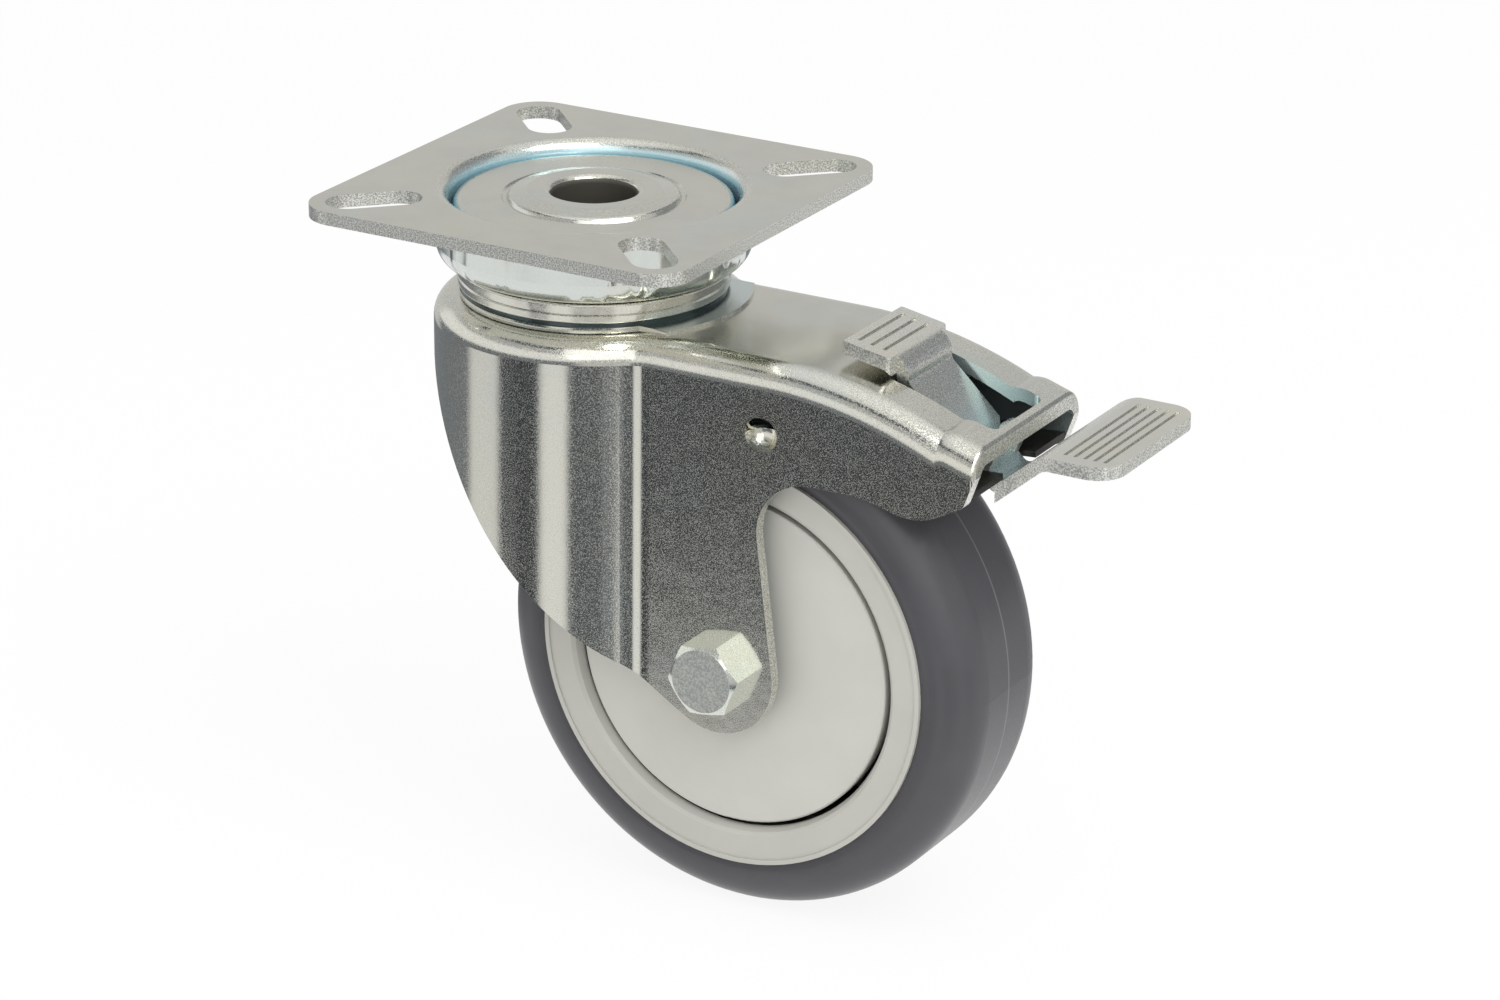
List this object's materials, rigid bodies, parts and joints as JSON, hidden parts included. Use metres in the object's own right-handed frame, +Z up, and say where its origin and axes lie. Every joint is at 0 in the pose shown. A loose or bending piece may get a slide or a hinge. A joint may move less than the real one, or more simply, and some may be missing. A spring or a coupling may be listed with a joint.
{
  "type": "swivel castor",
  "caption": "Swivel castor with a square slotted top plate, a double ball race head, a pressed fork, a soft tread wheel and a pedal brake with a release tab.",
  "frame": {"origin": "on the swivel axis, in the top face of the plate", "axes": "+Z up out of the plate, +X towards the tail of the fork and the pedal, the wheel axle along Y"},
  "size_m": [0.1566, 0.08, 0.1321],
  "materials": {
    "zinc_steel": "bright zinc plated, satin",
    "bearing_steel": "ground",
    "tread_rubber": "satin grey",
    "rim_plastic": "moulded light grey",
    "spring_steel": "blackened"
  },
  "bodies": {
    "plate": {"top_plate": "zinc_steel"},
    "fork_assembly": {"fork": "zinc_steel", "swivel_cap": "zinc_steel", "kingpin": "zinc_steel", "upper_balls": "bearing_steel", "lower_balls": "bearing_steel", "dust_ring": "zinc_steel", "axle_bolt": "zinc_steel", "axle_washer": "zinc_steel", "axle_nut": "zinc_steel", "bearing_inner_rings": "bearing_steel", "hub_sleeve": "bearing_steel", "side_bushes": "zinc_steel"},
    "wheel": {"tyre": "tread_rubber", "wheel_rim": "rim_plastic", "near_cover": "rim_plastic", "far_cover": "rim_plastic", "bearing_outer_rings": "bearing_steel", "bearing_balls": "bearing_steel", "bearing_shields": "bearing_steel"},
    "lever": {"brake_lever": "zinc_steel", "pivot_pins": "zinc_steel"},
    "leaf": {"brake_leaf": "spring_steel"}
  },
  "joints": [
    {"name": "swivel", "type": "hinge", "parent": "plate", "child": "fork_assembly", "pos_m": [0, 0, 0], "axis": [0, 0, 1], "continuous": true},
    {"name": "wheel_spin", "type": "hinge", "parent": "fork_assembly", "child": "wheel", "pos_m": [0.0388, 0, -0.0821], "axis": [0, 1, 0], "continuous": true},
    {"name": "brake_pedal", "type": "hinge", "parent": "fork_assembly", "child": "lever", "pos_m": [0.0856, 0, -0.0339], "axis": [0, 1, 0], "range_deg": [0, 12]},
    {"name": "leaf_press", "type": "hinge", "parent": "fork_assembly", "child": "leaf", "pos_m": [0.048, 0, -0.0314], "axis": [0, 1, 0], "range_deg": [0, 2.4]}
  ],
  "couplings": [
    {"joint": "leaf_press", "follows": "brake_pedal", "ratio": 0.2}
  ]
}
